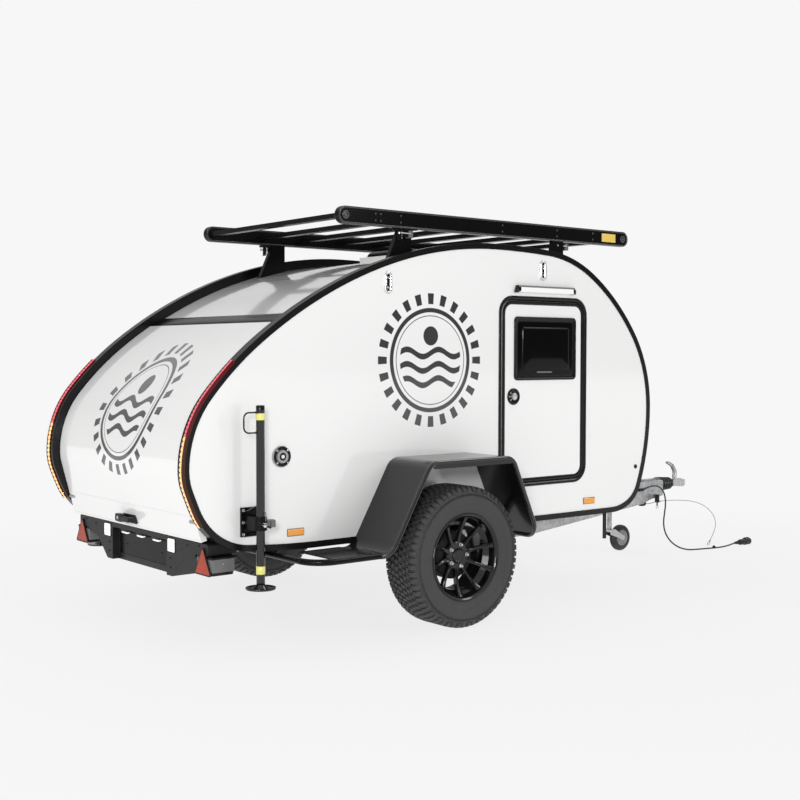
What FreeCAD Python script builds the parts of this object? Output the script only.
import FreeCAD, Part
import math
import os
import re

"""Teardrop trailer, in millimetres: +X towards the tow ball, +Y to the left, +Z up from the ground.

Every piece is drawn with X = 0 at the axle, then each node's Placement moves it by axle_place, so that
the origin lies on the ground under the middle of the trailer.
"""

DOC = FreeCAD.newDocument("TeardropTrailer")
SHEET = DOC.addObject("Spreadsheet::Sheet", "Sizes")
V = FreeCAD.Vector

SIZES = [  # name, value, meaning
    ("axle_place", -753.5, "X of the axle in the finished frame"),
    # body shell
    ("body_long", 3076, "length of the side outline, nose to tail"),
    ("body_tall", 1460, "height of the side outline"),
    ("sill_high", 451, "height of the outline's straight bottom"),
    ("body_half", 720, "middle of the trailer to the outer face of a side wall"),
    ("wall_thick", 30, "side wall and door leaf"),
    ("rim_half", 15, "half of the black rim's height in the side view"),
    ("rim_proud", 4, "rim's step outside the side wall"),
    ("rim_lap", 18, "rim's width behind the side wall"),
    ("shell_inset", 38, "roof skin's outer face inside the outline"),
    ("hatch_inset", 25, "hatch's outer face inside the outline"),
    ("shell_thick", 30, "roof skin, hatch and floor"),
    # hatch
    ("seam_place", -835, "X of the hatch hinge, measured from the axle"),
    ("hinge_rad", 6, "hinge rod radius"),
    ("hinge_gap", 8, "hinge centre to the panels on each side of it"),
    ("hatch_gap", 6, "side and bottom gap of the hatch"),
    ("hatch_turn", 285, "heading of the outline where the hatch runs on straight"),
    ("hatch_foot", 505, "height of the hatch's lower edge"),
    ("floor_tail", 208, "body's tail to the floor's rear edge"),
    ("grip_wide", 140, "hatch handle width"),
    # doors
    ("door_ahead", 537, "nose of the body to the front of the door frame"),
    ("door_wide", 676, "door frame width"),
    ("door_sill", 180, "outline's bottom to the door frame's bottom"),
    ("door_head", 153.4, "door frame's top below the rim at its front edge"),
    ("door_round", 95, "door frame's corner radius"),
    ("frame_wide", 20, "door frame's ring"),
    ("frame_proud", 6, "door frame's step outside the wall"),
    ("door_gap", 5, "gap between the door leaf and its frame"),
    ("edge_wide", 22, "black edge of the door leaf"),
    ("edge_thick", 4, "black edge's step outside the leaf"),
    ("pane_front", 90, "door frame's front edge to the window's"),
    ("pane_wide", 474, "window with its frame"),
    ("pane_tall", 342, "window with its frame"),
    ("pane_drop", 110, "door frame's top to the window's top"),
    ("pane_round", 42, "window's corner radius"),
    ("pane_edge", 24, "window frame's width"),
    ("lock_rad", 45, "door lock's rose"),
    ("lock_drop", 86, "window's lower edge to the lock's middle"),
    # fittings on the walls
    ("lamp_long", 452, "light bar above the door"),
    ("lamp_tall", 39, "light bar above the door"),
    ("lamp_deep", 30, "light bar above the door"),
    ("socket_rad", 50, "mains socket's flange"),
    ("strip_deep", 20, "lamp strip, square to the outline"),
    ("strip_proud", 11, "lamp strip outside the rim's edge"),
    ("strip_wide", 30, "lamp strip across the rim"),
    # wheels
    ("tyre_rad", 350, "tyre radius"),
    ("tyre_wide", 240, "tyre width"),
    ("tyre_clear", 46, "side wall's outer face to the tyre's inner face"),
    ("rim_rad", 203, "bead seat radius"),
    ("rim_lip", 15, "rim flange above the bead seat"),
    ("drum_rad", 120, "brake drum radius"),
    ("spindle_rad", 20, "stub axle radius"),
    ("spindle_fit", 0.05, "radial clearance on the stub axle"),
    ("guard_past", 30, "mudguard's outer edge beyond the tyre's outer face"),
    ("guard_gap", 138, "mudguard's top above the tyre"),
    ("guard_thick", 6, "mudguard sheet"),
    ("step_tube", 15, "radius of the step's edge tube"),
    # chassis
    ("rail_deep", 139, "depth of a chassis rail"),
    ("rail_wide", 42, "width of a chassis rail"),
    ("rail_inset", 70, "side wall's outer face to a rail's outer face"),
    ("neck_half", 66, "middle of the trailer to a rail's outer face at the tow end"),
    ("neck_place", 2500, "X where the rails meet the tow gear"),
    ("neck_long", 130, "parallel stretch of the rails at the tow gear"),
    ("bend_place", 760, "X where the rails turn inwards"),
    ("rail_tail", -260, "X of the rails' rear ends"),
    ("tail_half", 400, "middle of the trailer to a tail member's outer face"),
    ("tail_deep", 90, "depth of a tail member"),
    ("tail_wide", 40, "width of a tail member"),
    ("beam_size", 80, "axle beam's section"),
    ("beam_ahead", 150, "axle beam ahead of the wheel centre"),
    ("tow_high", 455, "height of the tow tube's middle"),
    ("ball_place", 2895, "X of the tow ball's middle"),
    ("ball_rad", 25, "tow ball radius"),
    ("handle_pin", 4, "tow handle's pin radius"),
    # roof rack
    ("rack_rear", -524, "X of the rack's rear end"),
    ("rack_long", 2094, "rack length"),
    ("rack_inset", 75, "side wall's outer face to the rack's outer face"),
    ("rack_gap", 65, "outline's highest point to the rack's underside"),
    ("rack_deep", 86, "depth of a rack rail"),
    ("rack_rail", 32, "width of a rack rail"),
    ("vent_place", 241, "X of the roof light's rear edge"),
    ("vent_size", 400, "roof light's frame, square"),
    ("vent_rise", 32, "frame above the roof skin"),
    ("dome_rise", 34, "dome above the frame"),
    # stands
    ("leg_place", -1080, "X of the steady legs"),
    ("leg_out", 100, "side wall's outer face to a steady leg's middle"),
    ("leg_rad", 20, "steady leg tube"),
    ("leg_lift", 296, "foot's underside above the ground"),
    ("leg_long", 814, "tube above the foot"),
    ("foot_rad", 69, "steady leg's foot"),
    ("leg_fit", 0.5, "collar's clearance round the leg"),
    ("jockey_place", 2333, "X of the jockey stem"),
    ("jockey_out", 27.95, "rail's outer face to the jockey stem's middle"),
    ("jockey_stem", 17, "jockey stem radius"),
    ("jockey_rad", 88, "jockey wheel radius"),
    ("jockey_wide", 50, "jockey wheel width"),
    ("jockey_trail", 108, "jockey stem to its wheel's axle"),
    ("jockey_fit", 0.5, "clamp's clearance round the stem"),
    # cables
    ("cable_rad", 5, "electric cable radius"),
    ("wire_rad", 2, "breakaway cable radius"),
]
for row, (name, value, meaning) in enumerate(SIZES, start=1):
    SHEET.set(f"A{row}", str(value))
    SHEET.set(f"B{row}", meaning)
    SHEET.setAlias(f"A{row}", name)
DOC.recompute()
NAMES = {name for name, _, _ in SIZES}
DERIVED = {  # places out from the middle of the trailer that follow the body's width
    "tyre_face": "(body_half + tyre_clear + tyre_wide)",
    "guard_face": "(body_half + tyre_clear + tyre_wide + guard_past)",
    "rail_face": "(body_half - rail_inset)",
    "rack_half": "(body_half - rack_inset)",
    "leg_half": "(body_half + leg_out)",
    "jockey_half": "(neck_half + (body_half - rail_inset - neck_half) * (neck_place - jockey_place)"
                   " / (neck_place - bend_place) + jockey_out)",
}
NODES = {}


# ---------------------------------------------------------------- tools

def spelled(text):
    """Expression with its derived places written out in the sheet's names."""
    return re.sub(r"[a-z_]+", lambda w: DERIVED.get(w[0], w[0]), str(text))


def num(text):
    """Value of an expression written in the sheet's names."""
    return float(SHEET.evalExpression(spelled(text)))


def bind(thing, prop, text):
    """Ties a property to an expression in the sheet's names."""
    whole = re.sub(r"[a-z_]+", lambda w: f"Sizes.{w[0]}" if w[0] in NAMES else w[0], spelled(text))
    thing.setExpression(prop, whole)


def block(name, x, y, z):
    """Box between two planes on each axis."""
    solid = DOC.addObject("Part::Box", name)
    for side, axis, (low, high) in zip(("Length", "Width", "Height"), "xyz", (x, y, z)):
        bind(solid, side, f"({high}) - ({low})")
        bind(solid, f"Placement.Base.{axis}", low)
    return solid


TURNS = {"x": (V(0, 1, 0), 90), "y": (V(1, 0, 0), -90), "z": (V(0, 0, 1), 0)}


def rod(name, axis, start, radius, length):
    """Cylinder from a start point along +X, +Y or +Z."""
    solid = DOC.addObject("Part::Cylinder", name)
    solid.Placement.Rotation = FreeCAD.Rotation(*TURNS[axis])
    bind(solid, "Radius", radius)
    bind(solid, "Height", length)
    for letter, place in zip("xyz", start):
        bind(solid, f"Placement.Base.{letter}", place)
    return solid


def joined(name, *shapes):
    whole = DOC.addObject("Part::MultiFuse", name)
    whole.Shapes = list(shapes)
    return whole


def less(name, base, *tools):
    """Base with the tools cut away, one after another."""
    for count, tool in enumerate(tools):
        cut = DOC.addObject("Part::Cut", f"{name}{count}")
        cut.Base = base
        cut.Tool = tool
        base = cut
    return base


def body(name):
    return DOC.addObject("PartDesign::Body", name)


FLIPPED = {"XZ_Plane": -1, "XY_Plane": 1, "YZ_Plane": 1}


def sketch(owner, plane, place, *loops):
    """Closed loops of edges on a plane of the body's origin, at a place along the third axis."""
    flat = owner.newObject("Sketcher::SketchObject", f"{owner.Name}Sketch")
    base = [f for f in owner.Origin.OriginFeatures if f.Role == plane][0]
    flat.AttachmentSupport = [(base, "")]
    flat.MapMode = "FlatFace"
    bind(flat, "AttachmentOffset.Base.z", f"{FLIPPED[plane]} * ({place})")
    for loop in loops:
        for edge in loop:
            flat.addGeometry(edge)
    return flat


def pad(owner, flat, length, way=1):
    """Extrudes a sketch along +X, +Y or +Z; way -1 goes the other way."""
    solid = owner.newObject("PartDesign::Pad", f"{owner.Name}Pad")
    solid.Profile = flat
    solid.Reversed = (way < 0) != (FLIPPED[flat.AttachmentSupport[0][0].Role] < 0)
    bind(solid, "Length", length)
    return solid


def slab(name, plane, place, length, *loops):
    """Body of one pad."""
    owner = body(name)
    pad(owner, sketch(owner, plane, place, *loops), length)
    return owner


def turned(name, loop):
    """Body of one revolution about its own Y axis; the loop holds (Y, radius)."""
    owner = body(name)
    flat = sketch(owner, "YZ_Plane", 0, loop)
    spin = owner.newObject("PartDesign::Revolution", f"{name}Spin")
    spin.Profile = flat
    spin.ReferenceAxis = (flat, ["H_Axis"])
    spin.Angle = 360
    return owner


def fan(owner, feature, count):
    """Repeats a feature round the body's Y axis."""
    spread = owner.newObject("PartDesign::PolarPattern", f"{owner.Name}Fan")
    spread.Originals = [feature]
    spread.Axis = ([f for f in owner.Origin.OriginFeatures if f.Role == "Y_Axis"][0], [""])
    spread.Angle = 360
    spread.Occurrences = count
    owner.Tip = spread
    return spread


def hung(owner, half, height):
    """Moves a turned body out to its place beside the body."""
    bind(owner, "Placement.Base.y", half)
    bind(owner, "Placement.Base.z", height)
    return owner


def node(label, thing):
    """Names a finished piece and moves it into the finished frame."""
    thing.Label = label
    place = dict(thing.ExpressionEngine).get(".Placement.Base.x", thing.Placement.Base.x)
    thing.setExpression("Placement.Base.x", f"Sizes.axle_place + {place}")
    NODES[label] = thing
    return thing


def mirrored(name, source):
    twin = DOC.addObject("Part::Mirroring", name)
    twin.Source = source
    twin.Normal = V(0, 1, 0)
    return twin


def pair(label, make):
    """Left piece and its mirror image, as two nodes."""
    left = node(f"left_{label}", make())
    right = mirrored(f"Right{label}", left)
    right.Label = f"right_{label}"
    NODES[right.Label] = right


def both(label, thing):
    """Left piece and its mirror image, as two solids in one node."""
    return node(label, joined(f"Both{label}", thing, mirrored(f"Twin{label}", thing)))


def line(start, end):
    return Part.LineSegment(V(start[0], start[1], 0), V(end[0], end[1], 0))


def arc(centre, radius, first, last):
    """Arc of a circle between two angles in degrees, counter-clockwise."""
    circle = Part.Circle(V(centre[0], centre[1], 0), V(0, 0, 1), radius)
    return Part.ArcOfCircle(circle, math.radians(first), math.radians(last))


def ring(centre, radius):
    return [Part.Circle(V(centre[0], centre[1], 0), V(0, 0, 1), radius)]


def rounded(points, radii, closed=True):
    """Edges of a polygon whose corners are arcs of the given radii; radius 0 keeps a sharp corner."""
    count = len(points)
    stops = []
    arcs = []
    for i, (point, radius) in enumerate(zip(points, radii)):
        here = V(*point, 0)
        if radius == 0 or (not closed and i in (0, count - 1)):
            stops.append((here, here))
            arcs.append(None)
            continue
        back = (V(*points[i - 1], 0) - here).normalize()
        ahead = (V(*points[(i + 1) % count], 0) - here).normalize()
        half = back.getAngle(ahead) / 2
        reach = radius / math.tan(half)
        centre = here + (back + ahead).normalize() * (radius / math.sin(half))
        first = here + back * reach
        last = here + ahead * reach
        middle = centre + (here - centre).normalize() * radius
        stops.append((first, last))
        arcs.append(Part.Arc(first, middle, last))
    edges = []
    for i in range(count):
        if arcs[i]:
            edges.append(arcs[i])
        if closed or i < count - 1:
            start, end = stops[i][1], stops[(i + 1) % count][0]
            if (end - start).Length > 1e-6:
                edges.append(Part.LineSegment(start, end))
    return edges


def panel(low, high, radius):
    """Rounded rectangle between two corners."""
    corners = [(low[0], low[1]), (high[0], low[1]), (high[0], high[1]), (low[0], high[1])]
    return rounded(corners, [radius] * 4)


def shifted(points, distance):
    """Open path moved to its left by a distance, corner by corner."""
    moved = []
    for i, point in enumerate(points):
        near = points[max(i - 1, 0)], points[min(i + 1, len(points) - 1)]
        back = V(point[0] - near[0][0], point[1] - near[0][1], 0)
        ahead = V(near[1][0] - point[0], near[1][1] - point[1], 0)
        back = (back if back.Length else ahead).normalize()
        ahead = (ahead if ahead.Length else back).normalize()
        across = (V(-back.y, back.x, 0) + V(-ahead.y, ahead.x, 0)).normalize()
        stretch = distance / (across * V(-back.y, back.x, 0))
        moved.append((point[0] + across.x * stretch, point[1] + across.y * stretch))
    return moved


def strip(points, radii, thick):
    """Closed loop of a bent sheet: a path with rounded corners, thickened to its right."""
    inner = shifted(points, -thick)
    turns = []
    for i in range(1, len(points) - 1):
        first = V(points[i][0] - points[i - 1][0], points[i][1] - points[i - 1][1], 0)
        after = V(points[i + 1][0] - points[i][0], points[i + 1][1] - points[i][1], 0)
        turns.append(math.copysign(1, first.cross(after).z))
    radii_in = [r + thick * t for r, t in zip(radii, turns)]
    outer_edges = rounded(points, [0, *radii, 0], closed=False)
    inner_edges = rounded(inner, [0, *radii_in, 0], closed=False)
    return [*outer_edges, line(points[-1], inner[-1]), *inner_edges, line(inner[0], points[0])]


# ---------------------------------------------------------------- side outline

OUTLINE = [  # X from the axle, height above the sill, heading in degrees; counter-clockwise from the left
    (1367, 0, 0),
    (1594, 131, 68.7),
    (1678, 582, 90),
    (1196, 1329, 148.0),
    (444, 1460, 180),
    (-1018, 957, 217.2),
    (-1398, 382, 270),
    (-1346, 205, 293.1),
    (-717, 0, 360),
]
NOMINAL_LONG = 3076
NOMINAL_TALL = 1460


class Bend:
    """One arc of the outline, convex, run counter-clockwise."""

    def __init__(self, start, heading, end):
        self.across = V(-heading.y, heading.x, 0)
        chord = end - start
        self.radius = (chord * chord) / (2 * (chord * self.across))
        self.centre = start + self.across * self.radius
        self.first = self.angle(start)
        turn = (self.angle(end) - self.first) % 360
        self.last = self.first + turn

    def angle(self, point):
        out = point - self.centre
        return math.degrees(math.atan2(out.y, out.x))

    def point(self, angle, offset=0):
        turn = math.radians(angle)
        return self.centre + V(math.cos(turn), math.sin(turn), 0) * (self.radius + offset)

    def where(self, axis, value, offset):
        """Angles at which one coordinate of the moved outline has a value."""
        share = (value - self.centre[axis]) / (self.radius + offset)
        if abs(share) > 1:
            return []
        turn = math.degrees(math.acos(share) if axis == 0 else math.asin(share))
        both_turns = (turn, -turn) if axis == 0 else (turn, 180 - turn)
        hits = [self.first + (t - self.first) % 360 for t in both_turns]
        return [t for t in hits if t <= self.last + 1e-9]

    def edge(self, offset, first=None, last=None):
        first = self.first if first is None else first
        last = self.last if last is None else last
        return arc(self.centre, self.radius + offset, first, last)


def bends():
    """The outline's arcs: two between each pair of rows of the table."""
    wide = num("body_long") / NOMINAL_LONG
    tall = num("body_tall") / NOMINAL_TALL
    places = []
    for x, height, heading in OUTLINE:
        turn = math.radians(heading)
        way = V(math.cos(turn) * wide, math.sin(turn) * tall, 0).normalize()
        places.append((V(x * wide, num("sill_high") + height * tall, 0), way))
    found = []
    for (start, out), (end, into) in zip(places, places[1:]):
        chord = end - start
        both_ways = out + into
        square = both_ways * both_ways - 4
        cross = chord * both_ways
        reach = (cross - math.sqrt(cross * cross - square * (chord * chord))) / square
        reach = max(reach, (cross + math.sqrt(cross * cross - square * (chord * chord))) / square)
        middle = (start + out * reach + end - into * reach) * 0.5
        step = middle - start
        heading = (step * (2 * (step * out) / (step * step)) - out).normalize()
        found += [Bend(start, out, middle), Bend(middle, heading, end)]
    return found


BENDS = bends()


def spot(axis, value, offset, lower=False, rear=False):
    """(arc number, angle) where the moved outline has X (axis 0) or height (axis 1) at a value."""
    hits = [(i, t) for i, b in enumerate(BENDS) for t in b.where(axis, value, offset)]
    points = {hit: BENDS[hit[0]].point(hit[1], offset) for hit in hits}
    if axis == 0:
        pick = min if lower else max
        return pick(hits, key=lambda hit: points[hit].y)
    pick = min if rear else max
    return pick(hits, key=lambda hit: points[hit].x)


def roof(x, offset=None):
    """Height of the roof skin, or of the outline moved by an offset, above the ground at X."""
    offset = -num("shell_inset") if offset is None else offset
    number, turn = spot(0, x, offset)
    return BENDS[number].point(turn, offset).y


def stretch(start, end, offset):
    """Edges of the moved outline from one spot to another; the straight bottom follows the last arc."""
    edges = []
    number, turn = start
    while True:
        here = BENDS[number]
        if number == end[0] and turn <= end[1]:
            if end[1] - turn > 1e-9:
                edges.append(here.edge(offset, turn, end[1]))
            return edges
        if here.last - turn > 1e-9:
            edges.append(here.edge(offset, turn, here.last))
        if number == len(BENDS) - 1:
            edges.append(line(here.point(here.last, offset), BENDS[0].point(BENDS[0].first, offset)))
        number = (number + 1) % len(BENDS)
        turn = BENDS[number].first


def hoop(offset):
    """The whole outline moved by an offset."""
    edges = [b.edge(offset) for b in BENDS]
    edges.append(line(BENDS[-1].point(BENDS[-1].last, offset), BENDS[0].point(BENDS[0].first, offset)))
    return edges


def band(start, end, outer, inner, gap_start=0, gap_end=0):
    """Loop between two offsets of the outline, its ends square to it and short by the gaps."""
    first, last = BENDS[start[0]], BENDS[end[0]]
    start = (start[0], start[1] + math.degrees(gap_start / (first.radius + outer)))
    end = (end[0], end[1] - math.degrees(gap_end / (last.radius + outer)))
    ends = [
        line(first.point(start[1], outer), first.point(start[1], inner)),
        line(last.point(end[1], outer), last.point(end[1], inner)),
    ]
    return [*stretch(start, end, outer), *stretch(start, end, inner), *ends]


NOSE = max(b.point(b.last).x for b in BENDS)
TAIL = min(b.point(b.last).x for b in BENDS)
PEAK = max(b.point(b.last).y for b in BENDS)
SKIN_OUT = -num("shell_inset")
SKIN_IN = -num("shell_inset + shell_thick")
HATCH_OUT = -num("hatch_inset")
HATCH_IN = -num("hatch_inset + shell_thick")
SEAM = spot(0, num("seam_place"), SKIN_OUT)
HATCH_TURN = [(i, num("hatch_turn") - 90) for i, b in enumerate(BENDS)
              if b.first <= num("hatch_turn") - 90 <= b.last][0]
FLOOR_TAIL = spot(0, TAIL + num("floor_tail"), SKIN_OUT, lower=True)
HINGE = BENDS[SEAM[0]].point(SEAM[1], SKIN_OUT + 4)
WALL_IN = "body_half - wall_thick"
SHELL_HALF = f"{WALL_IN} - rim_lap"
FRONT_FOOT = (0, BENDS[0].first)


# ---------------------------------------------------------------- shell

DOOR = {
    "front": NOSE - num("door_ahead"),
    "rear": NOSE - num("door_ahead + door_wide"),
    "low": num("sill_high + door_sill"),
    "high": roof(NOSE - num("door_ahead"), 0) - num("door_head"),
}


def door_loop(inset):
    """Door frame's outer edge, moved inwards."""
    low = (DOOR["rear"] + inset, DOOR["low"] + inset)
    high = (DOOR["front"] - inset, DOOR["high"] - inset)
    return panel(low, high, num("door_round") - inset)


def pane_loop(inset):
    """Window frame's outer edge, moved inwards."""
    front = DOOR["front"] - num("pane_front")
    top = DOOR["high"] - num("pane_drop")
    low = (front - num("pane_wide") + inset, top - num("pane_tall") + inset)
    return panel(low, (front - inset, top - inset), num("pane_round") - inset)


def side_wall():
    edge = hoop(-num("rim_half"))
    return slab("SideWall", "XZ_Plane", WALL_IN, "wall_thick", edge, door_loop(0))


def edge_rim():
    """Black rim: an L section that caps the wall's edge and stands above the roof skin."""
    owner = body("EdgeRim")
    half = num("rim_half")
    cap = sketch(owner, "XZ_Plane", SHELL_HALF, hoop(half), hoop(-half))
    pad(owner, cap, "rim_lap + wall_thick + rim_proud")
    lap = sketch(owner, "XZ_Plane", SHELL_HALF, hoop(-half), hoop(SKIN_IN))
    pad(owner, lap, "rim_lap")
    return owner


def shell(name, loop, gap=0):
    """Slab across the trailer, between the two rims."""
    half = f"{SHELL_HALF} - {gap}"
    return slab(name, "XZ_Plane", f"-({half})", f"2 * ({half})", loop)


def roof_skin():
    loop = band(FRONT_FOOT, SEAM, SKIN_OUT, SKIN_IN, gap_end=num("hinge_gap"))
    return shell("RoofSkin", loop)


def hatch_line(height):
    """X and height of a point on the hatch's straight lower part."""
    top = BENDS[HATCH_TURN[0]].point(HATCH_TURN[1], HATCH_OUT)
    lean = math.radians(num("hatch_turn") - 270)
    return V(top.x + (top.y - height) * math.tan(lean), height, 0)


def hatch():
    """Curved lid that follows the outline from the hinge, then runs straight down to its lower edge."""
    gap = num("hinge_gap")
    first = BENDS[SEAM[0]]
    start = (SEAM[0], SEAM[1] + math.degrees(gap / (first.radius + HATCH_OUT)))
    last = BENDS[HATCH_TURN[0]]
    lean = math.radians(num("hatch_turn") - 270)
    inward = V(math.cos(lean), math.sin(lean), 0) * num("shell_thick")
    outer_foot = hatch_line(num("hatch_foot"))
    inner_turn = last.point(HATCH_TURN[1], HATCH_IN)
    loop = [
        *stretch(start, HATCH_TURN, HATCH_OUT),
        line(last.point(HATCH_TURN[1], HATCH_OUT), outer_foot),
        line(outer_foot, outer_foot + inward),
        line(outer_foot + inward, inner_turn),
        *stretch(start, HATCH_TURN, HATCH_IN),
        line(first.point(start[1], HATCH_IN), first.point(start[1], HATCH_OUT)),
    ]
    return shell("Hatch", loop, "hatch_gap")


def floor_panel():
    loop = band(FLOOR_TAIL, FRONT_FOOT, SKIN_OUT, SKIN_IN)
    return shell("FloorPanel", loop)


def hinge_rod():
    place = (HINGE.x, f"-({SHELL_HALF})", HINGE.y)
    return rod("HingeRod", "y", place, "hinge_rad", f"2 * ({SHELL_HALF})")


def hatch_handle():
    """Bar on two posts, near the hatch's lower edge."""
    face = hatch_line(545)
    proud = 50
    width = ("-grip_wide / 2", "grip_wide / 2")
    bar = block("GripBar", (face.x - proud, face.x - proud + 14), width, (534, 560))
    posts = []
    for count, side in enumerate((-1, 1)):
        middle = f"{side} * (grip_wide / 2 - 18)"
        across = (f"{middle} - 14", f"{middle} + 14")
        post = block(f"GripPost{count}", (face.x - proud + 13, face.x + 12), across, (536, 558))
        posts.append(post)
    return less("Grip", joined("GripWhole", bar, *posts), hatch())


# ---------------------------------------------------------------- doors

def door_frame():
    loops = door_loop(0), door_loop(num("frame_wide"))
    return slab("DoorFrame", "XZ_Plane", WALL_IN, "wall_thick + frame_proud", *loops)


def door():
    inset = num("frame_wide + door_gap")
    hole = pane_loop(num("pane_edge"))
    return slab("DoorLeaf", "XZ_Plane", WALL_IN, "wall_thick", door_loop(inset), hole)


def door_trim():
    """Black edge of the leaf and the window's frame, both on the leaf's outer face."""
    inset = num("frame_wide + door_gap")
    edge = slab("LeafEdge", "XZ_Plane", "body_half", "edge_thick",
                door_loop(inset), door_loop(inset + num("edge_wide")))
    frame = slab("PaneFrame", "XZ_Plane", "body_half", "2 * edge_thick",
                 pane_loop(0), pane_loop(num("pane_edge")))
    return joined("DoorTrim", edge, frame)


def door_window():
    """Dark acrylic pane, domed outwards in two steps."""
    owner = body("Pane")
    edge = num("pane_edge")
    pad(owner, sketch(owner, "XZ_Plane", f"{WALL_IN} + 8", pane_loop(edge)), "wall_thick + 2")
    pad(owner, sketch(owner, "XZ_Plane", "body_half + 2", pane_loop(edge + 12)), "10")
    return owner


def door_lock():
    """Round rose with a domed paddle."""
    x = DOOR["rear"] + 109
    z = DOOR["high"] - num("pane_drop + pane_tall + lock_drop")
    rose = rod("LockRose", "y", (x, "body_half", z), "lock_rad", "8")
    knob = rod("LockKnob", "y", (x, "body_half", z), "lock_rad * 0.5", "18")
    return joined("DoorLock", rose, knob)


def door_lights():
    middle = (DOOR["rear"] + DOOR["front"]) / 2
    low = DOOR["high"] + 17
    across = (f"{middle} - lamp_long / 2", f"{middle} + lamp_long / 2")
    lamp = block("DoorLamp", across, ("body_half", "body_half + lamp_deep"), (low, f"{low} + lamp_tall"))
    return both("door_lights", lamp)


def awning_eyes():
    """Oval plates with a ring, two on each side under the roof edge."""
    eyes = []
    for count, x in enumerate((-282, 790)):
        z = roof(x, 0) - 100
        outline = panel((x - 22, z - 55), (x + 22, z + 55), 21)
        plate = slab(f"EyePlate{count}", "XZ_Plane", "body_half", "6", outline)
        loop = DOC.addObject("Part::Torus", f"EyeRing{count}")
        loop.Radius1 = 15
        loop.Radius2 = 4
        loop.Placement = FreeCAD.Placement(V(x, 0, z), FreeCAD.Rotation(V(1, 0, 0), 90))
        bind(loop, "Placement.Base.y", "body_half + 8")
        eyes.append(joined(f"Eye{count}", plate, loop))
    return both("awning_eyes", joined("Eyes", *eyes))


def side_reflectors():
    pieces = []
    for count, x in enumerate((-826, 1171)):
        depth = ("body_half", "body_half + 8")
        pieces.append(block(f"Reflector{count}", (x - 47, x + 47), depth, (500, 536)))
    return both("side_reflectors", joined("Reflectors", *pieces))


def mains_socket():
    x, z = -905, 874
    flange = rod("SocketFlange", "y", (x, "-body_half - 12", z), "socket_rad", "12")
    lid = rod("SocketLid", "y", (x, "-body_half - 20", z), "socket_rad * 0.72", "12")
    return node("mains_socket", joined("MainsSocket", flange, lid))


def led_strip():
    """Lamp strip let into the rim's outer corner, from the hatch's shoulder to its foot."""
    outer = num("rim_half + strip_proud")
    inner = outer - num("strip_deep")
    top = spot(1, 1305, inner, rear=True)
    foot = spot(1, 590, inner, rear=True)
    loop = band(top, foot, outer, inner)
    return slab("LedStrip", "XZ_Plane", "body_half + rim_proud + 3 - strip_wide", "strip_wide", loop)


# ---------------------------------------------------------------- inside

def bulkhead():
    top = roof(-560, SKIN_IN)
    height = ("sill_high + shell_inset + shell_thick", top)
    wall = block("Bulkhead", (-560, -542), (f"-({SHELL_HALF})", SHELL_HALF), height)
    return node("bulkhead", wall)


def galley():
    """Open kitchen cupboard behind the bulkhead: two ends on the sloping floor, a worktop and a shelf."""
    rear, front, high, board = -1130, -560, 940, 18
    back = spot(0, rear, SKIN_IN, lower=True)
    low = BENDS[back[0]].point(back[1], SKIN_IN)
    floor = num("sill_high + shell_inset + shell_thick")
    run = stretch(back, (len(BENDS) - 1, BENDS[-1].last), SKIN_IN)
    foot = BENDS[-1].point(BENDS[-1].last, SKIN_IN)
    loop = [*run, line(foot, (front, floor)), line((front, floor), (front, high)),
            line((front, high), (rear, high)), line((rear, high), low)]
    ends = [slab(f"GalleyEnd{count}", "XZ_Plane", y, board, loop) for count, y in enumerate((-620, 0, 602))]
    across = (-620, 620)
    top = block("Worktop", (rear - 30, front), across, (high - 1, high + 24))
    shelf = block("GalleyShelf", (rear + 20, front), across, (730, 748))
    return node("galley_cupboard", joined("Galley", *ends, top, shelf))


def mattress():
    low = num("sill_high + shell_inset + shell_thick")
    loop = panel((-538, low), (1380, low + 150), 30)
    return node("mattress", slab("Mattress", "XZ_Plane", f"-({WALL_IN} - 4)", f"2 * ({WALL_IN} - 4)", loop))


# ---------------------------------------------------------------- wheels

TYRE_MID = "tyre_face - tyre_wide / 2"


def tyre():
    half = num("tyre_wide") / 2
    out = num("tyre_rad")
    seat = num("rim_rad")
    belly = (out + seat) / 2
    lip = seat + num("rim_lip")
    side = [(half - 22, seat), (half - 18.5, lip + 1), (half - 9, lip + 6), (half - 14, out - 22),
            (half - 34, out)]
    inside = [(half - 42, out - 15), (half - 28, out - 34), (half - 28, seat + 16), (half - 36, seat)]
    crown, liner = side[4][0], inside[0][0]
    loop = [line((-crown, out), (crown, out)), line((-liner, out - 15), (liner, out - 15))]
    for way in (1, -1):
        outer, inner = ([V(way * x, z, 0) for x, z in row] for row in (side, inside))
        loop += [
            Part.LineSegment(outer[0], outer[1]),
            Part.LineSegment(outer[1], outer[2]),
            Part.Arc(outer[2], V(way * half, belly, 0), outer[3]),
            Part.LineSegment(outer[3], outer[4]),
            Part.LineSegment(inner[0], inner[1]),
            Part.Arc(inner[1], V(way * (half - 13), belly, 0), inner[2]),
            Part.LineSegment(inner[2], inner[3]),
            Part.LineSegment(inner[3], outer[0]),
        ]
    return hung(turned("Tyre", loop), TYRE_MID, "tyre_rad")


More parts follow.
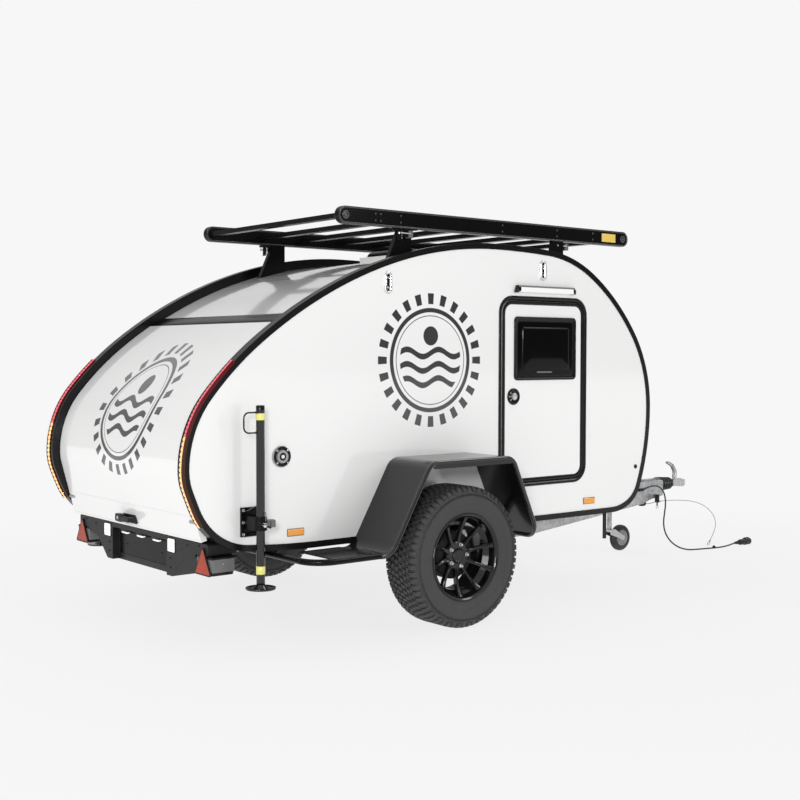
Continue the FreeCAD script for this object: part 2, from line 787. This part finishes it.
def wheel():
    """Deep-dished alloy wheel: barrel, hub plate and ten spokes."""
    half = num("tyre_wide") / 2 - 12
    seat = num("rim_rad")
    lip = seat + num("rim_lip")
    well = seat - 31
    barrel = [(-half, lip), (-half, seat - 7), (-half + 26, seat - 7), (-half + 50, well), (half - 75, well),
              (half - 50, seat - 7), (half, seat - 7), (half, lip), (half - 6, lip), (half - 10, seat),
              (half - 52, seat), (half - 73, well + 7), (-half + 52, well + 7), (-half + 28, seat),
              (-half + 10, seat), (-half + 6, lip)]
    owner = turned("Wheel", rounded(barrel, [0] * len(barrel)))
    plate = sketch(owner, "XZ_Plane", 14, ring((0, 0), 68), ring((0, 0), 36))
    pad(owner, plate, 20)
    outline = [(-13, 60), (13, 60), (9, seat - 4), (-9, seat - 4)]
    spoke = pad(owner, sketch(owner, "XZ_Plane", 26, rounded(outline, [0] * 4)), 26)
    fan(owner, spoke, 10)
    return hung(owner, TYRE_MID, "tyre_rad")


def hub():
    """Brake drum with its bearing boss, which turns with the wheel."""
    bore = num("spindle_rad + spindle_fit")
    boss = 35
    loop = [(-60, bore), (-60, num("drum_rad")), (14, num("drum_rad")), (14, boss), (48, boss), (48, bore)]
    return hung(turned("Hub", rounded(loop, [0] * len(loop))), TYRE_MID, "tyre_rad")


def axle_beam():
    """Rubber-sprung axle: a square beam under the rails, an arm and a stub axle at each end."""
    middle = "beam_ahead"
    top = "sill_high + shell_inset - rail_deep"
    beam = block("Beam", (f"{middle} - beam_size / 2", f"{middle} + beam_size / 2"),
                 ("-rail_face", "rail_face"), (f"{top} - beam_size", top))
    height = num("tyre_rad")
    low = num(f"{top} - beam_size / 2")
    ahead = num("beam_ahead")
    arm = body("AxleArm")
    swing = math.degrees(math.atan2(low - height, ahead))
    way = V(math.cos(math.radians(swing)), math.sin(math.radians(swing)), 0)
    side = V(-way.y, way.x, 0)
    near = [V(0, height, 0) + side * 34 * s for s in (1, -1)]
    far = [V(ahead, low, 0) + side * 40 * s for s in (1, -1)]
    loop = [
        Part.Arc(near[0], V(0, height, 0) - way * 34, near[1]),
        Part.LineSegment(near[1], far[1]),
        Part.Arc(far[1], V(ahead, low, 0) + way * 40, far[0]),
        Part.LineSegment(far[0], near[0]),
    ]
    pad(arm, sketch(arm, "XZ_Plane", "rail_face", loop), 40)
    reach = f"{TYRE_MID} + 44 - rail_face - 20"
    stub = rod("StubAxle", "y", (0, "rail_face + 20", "tyre_rad"), "spindle_rad", reach)
    shoulder = rod("StubShoulder", "y", (0, "rail_face + 30", "tyre_rad"), "spindle_rad + 12",
                   f"{TYRE_MID} - 65 - rail_face - 30")
    left = joined("AxleEnd", arm, stub, shoulder)
    return node("axle_beam", joined("AxleBeam", beam, left, mirrored("AxleEndTwin", left)))


# ---------------------------------------------------------------- chassis and tow gear

RAIL_LOW = "sill_high + shell_inset - rail_deep"
BUMPER_FACE = TAIL + 136
BUMPER_DEEP = 150
TAIL_PLACE = BUMPER_FACE + BUMPER_DEEP
CROSS_FRONT = 480
CROSSES = [  # X, half length
    (TAIL_PLACE + 25, "tail_half"),
    (-620, "tail_half"),
    (-200, "rail_face - rail_wide"),
    (CROSS_FRONT, "rail_face - rail_wide"),
]


def rail():
    """One bent member: straight under the body's side, then inwards to the tow gear."""
    out, neck = num("rail_face"), num("neck_half")
    path = [(num("neck_place + neck_long"), neck), (num("neck_place"), neck), (num("bend_place"), out),
            (num("rail_tail"), out)]
    loop = strip(path, [120, 160], -num("rail_wide"))
    member = slab("Rail", "XY_Plane", RAIL_LOW, "rail_deep", loop)
    high = num("sill_high + shell_inset")
    low = num(RAIL_LOW)
    wedge = [(2380, low - 1), (2680, low - 1), (2680, low + 42)]
    taper = slab("RailTaper", "XZ_Plane", -10, 400, rounded(wedge, [0] * 3))
    return less("RailCut", member, taper)


def tail_member():
    """Shallow member under the floor, from the front cross member to the bumper."""
    top = "sill_high + shell_inset"
    across = ("tail_half - tail_wide", "tail_half")
    return block("TailMember", (TAIL_PLACE, CROSS_FRONT - 25), across, (f"{top} - tail_deep", top))


def cross_members():
    """Channels between the rails, and between the tail members behind them."""
    top = "sill_high + shell_inset"
    pieces = []
    for count, (x, half) in enumerate(CROSSES):
        size = ((x - 25, x + 25), (f"-({half})", half), (f"{top} - 69", top))
        pieces.append(block(f"Cross{count}", *size))
    left = tail_member()
    return node("cross_members", joined("CrossMembers", *pieces, left, mirrored("TailTwin", left)))


def tow_housing():
    """Bracket and tube of the overrun gear, between the rails' tow ends."""
    wide = "neck_half - rail_wide"
    low = block("TowBlock", ("neck_place - 60", "neck_place + neck_long - 10"), (f"-({wide})", wide),
                ("tow_high - 55", "tow_high + 40"))
    collar = rod("TowCollar", "x", ("neck_place + neck_long", 0, "tow_high"), "46", "10")
    tube = rod("TowTube", "x", ("neck_place + neck_long - 40", 0, "tow_high"), "22", "205")
    return node("tow_housing", joined("TowHousing", low, collar, tube))


def bellows():
    """Rubber boot with five folds, round the tow tube."""
    owner = body("Bellows")
    fold = 30
    folds = 5
    points = [(0, 22.5)]
    for count in range(folds):
        rad = 50 - 2 * count
        points += [(fold * count, rad - 9), (fold * (count + 0.5), rad)]
    points += [(fold * folds, 30), (fold * folds, 22.5)]
    loop = rounded(points, [0] * len(points))
    flat = sketch(owner, "XZ_Plane", 0, loop)
    spin = owner.newObject("PartDesign::Revolution", "BellowsSpin")
    spin.Profile = flat
    spin.ReferenceAxis = (flat, ["H_Axis"])
    spin.Angle = 360
    bind(owner, "Placement.Base.x", "neck_place + neck_long + 10")
    bind(owner, "Placement.Base.z", "tow_high")
    return node("bellows", owner)


HANDLE_X = "ball_place - 55"
HANDLE_Z = "tow_high + 18"


def tow_head():
    """Ball coupling: a rounded cup over the ball, open below, on the tow tube's end."""
    rear = "neck_place + neck_long + 165"
    neck = block("HeadNeck", (rear, "ball_place"), (-24, 24), ("tow_high - 22", "tow_high + 24"))
    cup = rod("HeadCup", "z", ("ball_place", 0, "tow_high - 22"), "ball_rad + 11", "40")
    dome = DOC.addObject("Part::Sphere", "HeadDome")
    bind(dome, "Radius", "ball_rad + 9")
    bind(dome, "Placement.Base.x", "ball_place")
    bind(dome, "Placement.Base.z", "tow_high - 6")
    socket = DOC.addObject("Part::Sphere", "BallSocket")
    bind(socket, "Radius", "ball_rad + 0.5")
    bind(socket, "Placement.Base.x", "ball_place")
    bind(socket, "Placement.Base.z", "tow_high - 8")
    mouth = rod("BallMouth", "z", ("ball_place", 0, "tow_high - 60"), "ball_rad + 0.5", "52")
    length = ("ball_place - 80", "ball_place - 30")
    slot = block("HandleSlot", length, (-17, 17), ("tow_high + 6", "tow_high + 30"))
    head = less("HeadCut", joined("HeadWhole", neck, cup, dome), socket, mouth, slot)
    pin = rod("HandlePin", "y", (HANDLE_X, -20, HANDLE_Z), "handle_pin", 40)
    return node("tow_head", joined("HeadPinned", head, pin))


def tow_handle():
    """Lever that lifts the ball catch: up from its pin in the slot, then back."""
    x, z = num(HANDLE_X), num(HANDLE_Z)
    wide = 30
    path = [(x - 7, z), (x - 3, z + 62), (x - 34, z + 104), (x - 84, z + 126)]
    lever = slab("Lever", "XZ_Plane", -wide / 2, wide, strip(path, [34, 50], 16))
    boss = rod("LeverBoss", "y", (HANDLE_X, -wide / 2, HANDLE_Z), "handle_pin + 6", wide)
    bore = rod("LeverBore", "y", (HANDLE_X, -wide / 2 - 1, HANDLE_Z), "handle_pin + 0.05", wide + 2)
    return node("tow_handle", less("TowHandle", joined("LeverWhole", lever, boss), bore))


# ---------------------------------------------------------------- mudguards

STEP_HIGH = 418


def mudguard():
    """Bent sheet over the wheel with a bead round its outer edge and a skirt along its top."""
    top = num("2 * tyre_rad + guard_gap")
    rear, front = num("-tyre_rad"), num("tyre_rad")
    low = 404
    path = [(rear - 210, STEP_HIGH + 3), (rear - 152, STEP_HIGH + 3), (rear + 88, top), (front - 68, top),
            (front + 128, low)]
    radii = [80, 84, 80]
    corner = 100
    owner = body("Guard")
    bead = sketch(owner, "XZ_Plane", "guard_face - 10", strip(path, radii, 18))
    pad(owner, bead, 10)
    sheet = sketch(owner, "XZ_Plane", "body_half", strip(path, radii, num("guard_thick")))
    pad(owner, sheet, "guard_face - body_half - 5")
    skirt_points = [(rear + 108, top - 3), (front - 88, top - 3), (front - 78, top - 38),
                    (rear + 100, top - 38)]
    skirt = sketch(owner, "XZ_Plane", "guard_face - 7", rounded(skirt_points, [0, 0, 12, 12]))
    pad(owner, skirt, 6)
    edge = num("guard_face")
    blank = rounded([(edge - corner, low - 30), (edge + 1, low - 30), (edge + 1, low + corner),
                     (edge, low + corner)], [0] * 4)
    trim = slab("GuardCorner", "YZ_Plane", front - 60, 240, blank)
    keep = rod("GuardRound", "x", (front - 60, edge - corner, low + corner), corner, 240)
    notch = less("GuardNotch", trim, keep)
    return less("GuardCut", owner, edge_rim(), notch)


def step():
    """Plate behind the mudguard with a tube round its edge, which turns in to the chassis rail."""
    z = STEP_HIGH
    edge = num("guard_face - step_tube")
    bend = 110
    front = num("-tyre_rad - 210")
    rear = front - 370
    wall = num("body_half - 20")
    plate = slab("StepPlate", "XY_Plane", z - 3, "guard_thick",
                 rounded([(front - 230, wall), (front, wall), (front, edge), (front - 230, edge)], [0] * 4))
    rail_end = num("tail_half")
    stops = [V(front, edge, z), V(rear + bend, edge, z), V(rear, edge - bend, z), V(rear, rail_end, z)]
    corner = V(rear + bend, edge - bend, z) + V(-1, 1, 0).normalize() * bend
    edges = [Part.LineSegment(stops[0], stops[1]).toShape(), Part.Arc(stops[1], corner, stops[2]).toShape(),
             Part.LineSegment(stops[2], stops[3]).toShape()]
    tube = DOC.addObject("Part::Feature", "StepTube")
    section = Part.Wire([Part.Circle(stops[0], V(1, 0, 0), num("step_tube")).toShape()])
    tube.Shape = Part.Wire(edges).makePipeShell([section], True, False)
    return joined("Step", plate, tube)


# ---------------------------------------------------------------- rear end

def bumper():
    """Moulded bumper: a bar under the hatch and a deeper middle, recessed and open below for the plate."""
    x = BUMPER_FACE
    owner = body("Bumper")
    end = num(SHELL_HALF) - 4
    left = [(end, 494), (end, 438), (end - 108, 438), (end - 113, 420), (461, 411), (344, 306)]
    bar = [*((-y, z) for y, z in reversed(left)), *left]
    radii = [16, 24, 8, 0, 8, 8]
    flat = sketch(owner, "YZ_Plane", x, rounded(bar, [*radii, *reversed(radii)]))
    pad(owner, flat, BUMPER_DEEP)
    recess = owner.newObject("PartDesign::Pocket", "PlateRecess")
    recess.Profile = sketch(owner, "YZ_Plane", x, panel((-285, 290), (285, 470), 10))
    recess.Length = 34
    recess.Reversed = True
    return node("rear_bumper", owner)


def rear_lights():
    """Lamp box at each end of the bumper with a triangular reflector on its face."""
    length = (BUMPER_FACE, BUMPER_FACE + 132)
    case = block("LampCase", length, ("body_half - 157", "body_half - 17"), (354, 438))
    inner = num("body_half - 160")
    triangle = rounded([(inner, 352), (inner + 146, 352), (inner + 73, 484)], [8, 8, 6])
    face = slab("LampFace", "YZ_Plane", BUMPER_FACE - 8, "8", triangle)
    return both("rear_lights", joined("RearLight", case, face))


# ---------------------------------------------------------------- roof

RACK_LOW = f"{PEAK} + rack_gap"


def rack_foot():
    pieces = []
    for count, (rear, front, lean, inward) in enumerate(((-200, -30, 88, 50), (926, 1029, 20, 0))):
        start, end = spot(0, front, SKIN_OUT), spot(0, rear, SKIN_OUT)
        high = num(RACK_LOW)
        low = [BENDS[hit[0]].point(hit[1], SKIN_OUT) for hit in (start, end)]
        loop = [*stretch(start, end, SKIN_OUT), line(low[1], (rear + lean, high)),
                line((rear + lean, high), (front, high)), line((front, high), low[0])]
        pieces.append(slab(f"Foot{count}", "XZ_Plane", f"rack_half - {inward + 26}", "26", loop))
        if inward:
            flange = (f"rack_half - {inward + 26}", "rack_half")
            pieces.append(block(f"FootFlange{count}", (rear + lean, front), flange, (f"{RACK_LOW} - 6", RACK_LOW)))
    return joined("Feet", *pieces)


SLATS = (-480, -150, 130, 410, 690, 970, 1250, 1525)


def roof_rack():
    """Two side rails joined by slats."""
    rear, low, deep = num("rack_rear"), num(RACK_LOW), num("rack_deep")
    stadium = panel((rear, low), (rear + num("rack_long"), low + deep), deep / 2 - 1)
    rails = []
    for count, side in enumerate((-1, 1)):
        inner = f"{side} * rack_half - {max(side, 0)} * rack_rail"
        rails.append(slab(f"RackRail{count}", "XZ_Plane", inner, "rack_rail", stadium))
    slats = []
    for count, x in enumerate(SLATS):
        across = ("-rack_half + rack_rail / 2", "rack_half - rack_rail / 2")
        height = (f"{RACK_LOW} + 30", f"{RACK_LOW} + 54")
        slats.append(block(f"Slat{count}", (x - 22, x + 22), across, height))
    return node("roof_rack", joined("RoofRack", *rails, *slats))


def roof_vent():
    """Square roof light: a frame that follows the roof, and a smoked dome on it."""
    start, end = spot(0, num("vent_place + vent_size"), SKIN_OUT), spot(0, num("vent_place"), SKIN_OUT)
    rise = SKIN_OUT + num("vent_rise")
    frame = slab("VentFrame", "XZ_Plane", "-vent_size / 2", "vent_size", band(start, end, rise, SKIN_OUT))
    node("roof_vent", frame)
    inset = 25
    half = f"vent_size / 2 - {inset}"
    top = rise + num("dome_rise")
    dome = slab("VentDome", "XZ_Plane", f"-({half})", f"2 * ({half})",
                band(start, end, top, rise, gap_start=inset, gap_end=inset))
    return node("vent_dome", dome)


# ---------------------------------------------------------------- stands

def leg_bracket():
    """Plate on the side wall with a collar round the leg."""
    x = "leg_place"
    plate = block("LegPlate", (f"{x} - 45", f"{x} + 72"), ("body_half", "body_half + 12"), (522, 655))
    arm = block("LegArm", (f"{x} - 30", f"{x} + 30"), ("body_half", "leg_half"), (560, 620))
    collar = rod("LegCollar", "z", (x, "leg_half", 560), "leg_rad + 9", "60")
    bore = rod("LegBore", "z", (x, "leg_half", 500), "leg_rad + leg_fit", "200")
    return both("leg_brackets", less("LegClamp", joined("LegHolder", plate, arm, collar), bore))


def rear_leg():
    """Steady leg: tube, round foot and a folding handle near its top."""
    tube = rod("LegTube", "z", ("leg_place", "leg_half", "leg_lift + 8"), "leg_rad", "leg_long")
    foot = rod("LegFoot", "z", ("leg_place", "leg_half", "leg_lift"), "foot_rad", "10")
    depth = ("leg_half - 4", "leg_half + 4")
    grip = block("LegGrip", ("leg_place - 86", "leg_place"), depth, (1082, 1090))
    low_grip = block("LegGripLow", ("leg_place - 86", "leg_place"), depth, (992, 1000))
    bar = block("LegGripBar", ("leg_place - 90", "leg_place - 82"), depth, (992, 1090))
    return joined("RearLeg", tube, foot, grip, low_grip, bar)


def jockey_clamp():
    """Bracket on the left rail's outer face, bored for the stem."""
    length = ("jockey_place - 28", "jockey_place + 28")
    arm = block("ClampArm", length, ("jockey_half - 40", "jockey_half + 8"), (392, 452))
    collar = rod("ClampCollar", "z", ("jockey_place", "jockey_half", 392), "jockey_stem + 12", "60")
    bore = rod("ClampBore", "z", ("jockey_place", "jockey_half", 300), "jockey_stem + jockey_fit", "300")
    return node("jockey_clamp", less("ClampCut", joined("ClampWhole", arm, collar), bore, rail()))


def jockey_stem():
    """Tube through the clamp with a crank on top."""
    tube = rod("StemTube", "z", ("jockey_place", "jockey_half", 156), "jockey_stem", "544")
    cap = rod("StemCap", "z", ("jockey_place", "jockey_half", 690), "jockey_stem + 5", "24")
    length = ("jockey_place", "jockey_place + 120")
    crank = block("StemCrank", length, ("jockey_half - 6", "jockey_half + 6"), (706, 714))
    knob = rod("StemKnob", "z", ("jockey_place + 112", "jockey_half", 710), "11", "60")
    pin = rod("StemPin", "z", ("jockey_place", "jockey_half", 141), "8", 16)
    return node("jockey_stem", joined("JockeyStem", tube, cap, crank, knob, pin))


def jockey_fork():
    """Swivelling fork: a head under the stem and two arms to the wheel's axle."""
    half = "jockey_wide / 2 + 5"
    across = (f"jockey_half - ({half}) - 5", f"jockey_half + {half} + 5")
    head = block("ForkHead", ("jockey_place - 22", "jockey_place + 22"), across, (138, 155))
    arms = []
    for count, side in enumerate((-1, 1)):
        low = f"jockey_half + {side} * ({half}) - {max(-side, 0)} * 5"
        near, far = num("jockey_place"), num("jockey_place + jockey_trail")
        corners = [(near - 22, 155), (near - 22, 122), (far - 6, 76), (far + 12, 80), (far + 10, 100),
                   (near + 22, 155)]
        loop = rounded(corners, [6, 10, 8, 6, 8, 10])
        arms.append(slab(f"ForkArm{count}", "XZ_Plane", low, "5", loop))
    start = ("jockey_place + jockey_trail", f"jockey_half - ({half}) - 2", "jockey_rad")
    pin = rod("ForkPin", "y", start, "6", f"2 * ({half}) + 4")
    bore = rod("ForkBore", "z", ("jockey_place", "jockey_half", 120), "8.05", 60)
    return node("jockey_fork", less("ForkCut", joined("JockeyFork", head, *arms, pin), bore))


def jockey_wheel():
    half = num("jockey_wide") / 2
    out = num("jockey_rad")
    side = [(half - 12, out), (half, out - 14), (half, 52), (half - 14, 48), (half - 14, 26), (half, 22),
            (half, 6.05)]
    radii = [10, 8, 0, 0, 0, 0, 0]
    points = [*((-y, rad) for y, rad in reversed(side)), *side]
    loop = rounded(points, [*reversed(radii), *radii])
    owner = turned("JockeyWheel", loop)
    bind(owner, "Placement.Base.x", "jockey_place + jockey_trail")
    return node("jockey_wheel", hung(owner, "jockey_half", "jockey_rad"))


def drain_pipe():
    """Short stiff drain under the floor, just inside the right sill."""
    x = NOSE - 238
    outer = rod("DrainOuter", "z", (x, -600, 264), "11", "sill_high + shell_inset - 240")
    inner = rod("DrainInner", "z", (x, -600, 260), "8", "200")
    return node("drain_pipe", less("Drain", outer, inner, roof_skin()))


# ---------------------------------------------------------------- cables

CABLE = [  # X, Y, Z of the electric cable, from its gland to its end inside its plug
    (2320, -150, 452), (2385, -148, 468), (2455, -143, 470), (2520, -138, 452), (2565, -134, 406),
    (2582, -131, 344), (2574, -129, 280), (2560, -130, 218), (2568, -132, 156), (2602, -137, 100),
    (2652, -145, 56), (2716, -155, 24), (2790, -166, 7), (2878, -180, 5), (2980, -206, 5),
    (3060, -226, 6), (3130, -238, 12), (3200, -241, 24), (3225, -241, 24),
]
PLUG_GRIP = 25  # length of cable held inside its plug
WIRE = [  # X, Y, Z of the breakaway cable, from the rail's eye to its clip, which stands on its tip
    (2565, -84, 351), (2640, -86, 350), (2720, -88, 347), (2800, -90, 341), (2880, -93, 332),
    (2950, -95, 318), (3015, -98, 297), (3075, -100, 268), (3125, -102, 232), (3156, -105, 190),
    (3165, -107, 147), (3150, -110, 106), (3118, -112, 66), (3094, -113, 37),
]


def cable(label, points, radius):
    """Round cable along straight runs joined by tangent arcs; prints its radii and checks its volume."""
    stops = [V(*p) for p in points]
    edges = []
    radii = []
    here = stops[0]
    for before, point, after in zip(stops, stops[1:], stops[2:]):
        back, ahead = before - point, after - point
        turn = math.pi - back.getAngle(ahead)
        size = 0.45 * min(back.Length, ahead.Length) / math.tan(turn / 2)
        reach = size * math.tan(turn / 2)
        back.normalize()
        ahead.normalize()
        first, last = point + back * reach, point + ahead * reach
        centre = point + (back + ahead).normalize() * (size / math.cos(turn / 2))
        middle = centre + (point - centre).normalize() * size
        edges += [Part.LineSegment(here, first).toShape(), Part.Arc(first, middle, last).toShape()]
        radii.append(round(size))
        here = last
    edges.append(Part.LineSegment(here, stops[-1]).toShape())
    path = Part.Wire(edges)
    section = Part.Wire([Part.Circle(stops[0], stops[1] - stops[0], num(radius)).toShape()])
    tube = DOC.addObject("Part::Feature", label)
    tube.Shape = path.makePipeShell([section], True, False)
    want = math.pi * num(radius) ** 2 * path.Length
    share = tube.Shape.Volume / want
    print(f"{label}: {path.Length:.0f} mm long, radii {radii}, volume {share:.4f} of its section's")
    return node(label, tube)


def cable_brackets():
    """Gland of the electric cable and eye of the breakaway cable, on the right rail's outer face."""
    x, y, z = CABLE[0]
    gland = rod("Gland", "x", (x - 40, y, z), "cable_rad + 6", 40)
    clip = block("GlandClip", (x - 34, x - 10), (y, y + 40), (z - 8, z + 8))
    a, b, c = WIRE[0]
    eye = block("WireEye", (a - 14, a), (b - 6, b + 22), (c - 9, c + 45))
    whole = joined("CableHolders", gland, clip, eye)
    return node("cable_brackets", less("HolderCut", whole, mirrored("RightRailTool", rail())))


def plug():
    """Moulded trailer plug lying on the ground: sleeve, body and collar."""
    x, y, z = CABLE[-1]
    x -= PLUG_GRIP
    sleeve = DOC.addObject("Part::Cone", "PlugSleeve")
    sleeve.Placement = FreeCAD.Placement(V(x, y, z), FreeCAD.Rotation(V(0, 1, 0), 90))
    bind(sleeve, "Radius1", "cable_rad + 3")
    sleeve.Radius2 = 15
    sleeve.Height = 60
    case = rod("PlugCase", "x", (x + 60, y, z), "20", "60")
    nose = rod("PlugNose", "x", (x + 110, y, z), "24", "60")
    bore = rod("PlugBore", "x", (x, y, z), "cable_rad + 0.5", PLUG_GRIP)
    return node("plug", less("Plug", joined("PlugWhole", sleeve, case, nose), bore))


def wire_clip():
    """Steel snap hook at the cable's end."""
    way = (V(*WIRE[-1]) - V(*WIRE[-2])).normalize()
    hook = DOC.addObject("Part::Box", "WireClip")
    hook.Length, hook.Width, hook.Height = 45, 20, 7
    end = FreeCAD.Placement(V(*WIRE[-1]), FreeCAD.Rotation(V(1, 0, 0), way))
    hook.Placement = end.multiply(FreeCAD.Placement(V(0, -10, -3.5), FreeCAD.Rotation()))
    return node("wire_clip", hook)


# ---------------------------------------------------------------- build

def build():
    pair("side_wall", side_wall)
    both("edge_rims", less("RimSlot", edge_rim(), led_strip()))
    node("roof_skin", roof_skin())
    node("floor_panel", floor_panel())
    node("hatch", hatch())
    node("hatch_hinge", hinge_rod())
    node("hatch_handle", hatch_handle())
    both("door_frames", door_frame())
    pair("door", door)
    pair("door_trim", door_trim)
    pair("door_window", door_window)
    pair("door_lock", door_lock)
    door_lights()
    awning_eyes()
    side_reflectors()
    mains_socket()
    both("led_strips", led_strip())
    bulkhead()
    galley()
    mattress()
    pair("tyre", tyre)
    pair("wheel", wheel)
    pair("hub", hub)
    axle_beam()
    both("chassis_rails", rail())
    cross_members()
    tow_housing()
    bellows()
    tow_head()
    tow_handle()
    both("mudguards", mudguard())
    both("steps", step())
    bumper()
    rear_lights()
    both("rack_feet", rack_foot())
    roof_rack()
    roof_vent()
    leg_bracket()
    pair("rear_leg", rear_leg)
    jockey_clamp()
    jockey_stem()
    jockey_fork()
    jockey_wheel()
    drain_pipe()
    cable_brackets()
    cable("electric_cable", CABLE, "cable_rad")
    plug()
    cable("breakaway_cable", WIRE, "wire_rad")
    wire_clip()


def check():
    """Stops with a list of what failed, before anything is written."""
    bad = [o for o in DOC.Objects if {"Invalid", "Error"} & set(o.State)]
    faults = [f"{o.Name}: {o.State} {o.getStatusString()}" for o in bad]
    for label, thing in NODES.items():
        if thing.Shape.isNull() or not thing.Shape.isValid() or not thing.Shape.Solids:
            faults.append(f"{label}: bad shape")
    if faults:
        raise RuntimeError("; ".join(faults))


def write():
    os.makedirs("parts", exist_ok=True)
    for label, thing in NODES.items():
        thing.Shape.exportStep(f"parts/{label}.step")
    free = [t.Shape.BoundBox for n, t in NODES.items() if n not in CORD_NODES]
    low, high = min(b.XMin for b in free), max(b.XMax for b in free)
    print(f"{len(NODES)} nodes; without the cables X runs from {low:.1f} to {high:.1f}")


CORD_NODES = ("electric_cable", "plug", "breakaway_cable", "wire_clip")
build()
DOC.recompute()
check()
write()
